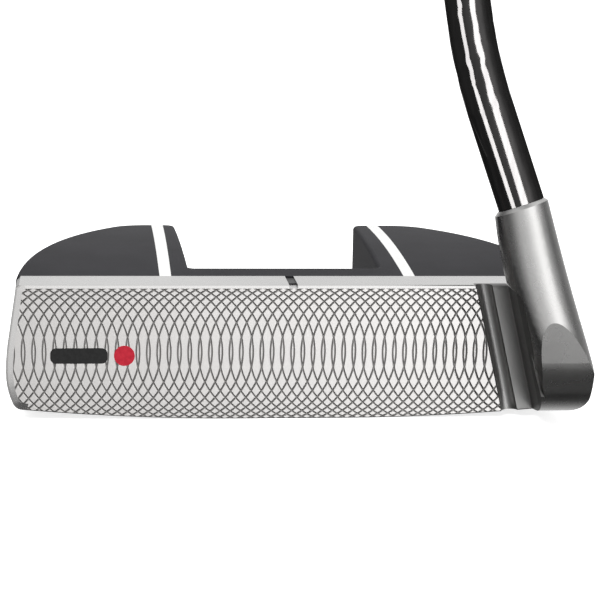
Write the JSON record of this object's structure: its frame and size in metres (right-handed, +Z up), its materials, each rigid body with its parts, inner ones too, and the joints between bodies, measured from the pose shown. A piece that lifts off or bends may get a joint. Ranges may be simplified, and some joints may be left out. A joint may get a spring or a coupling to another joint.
{
  "type": "mallet putter",
  "caption": "Right-handed mallet putter: milled steel face block with a heel weight and hosel, black two-wing body with white aiming lines, bent black shaft and pistol grip.",
  "frame": {"origin": "on the ground plane under the middle of the striking face, in the plane of the face", "axes": "+X from the middle of the face to the heel, +Y from the face to the back of the head, +Z up with the club soled"},
  "size_m": [0.3306, 0.0889, 0.8271],
  "materials": {
    "head_steel": "satin milled stainless steel",
    "black_body": "black anodised, fine bead-blasted",
    "white_paint": "white enamel fill",
    "black_paint": "black enamel fill",
    "red_paint": "red enamel fill",
    "black_chrome": "black chrome plate on steel tube",
    "fastener_steel": "blackened alloy steel",
    "ballast_steel": "turned steel",
    "epoxy": "cured epoxy",
    "grip_rubber": "moulded rubber with fine texture",
    "tape": "paper-backed double-sided tape",
    "cap_plastic": "moulded plastic"
  },
  "bodies": {
    "root": {"front_block": "head_steel", "rear_body": "black_body", "body_screws": "fastener_steel", "locating_pins": "ballast_steel", "toe_ballast": "ballast_steel", "toe_sight_line": "white_paint", "heel_sight_line": "white_paint", "centre_sight_mark": "black_paint", "face_mark_bar": "black_paint", "face_mark_dot": "red_paint", "shaft": "black_chrome", "shaft_bond": "epoxy", "grip_sleeve": "grip_rubber", "grip_tape": "tape", "grip_cap": "cap_plastic"}
  },
  "joints": []
}
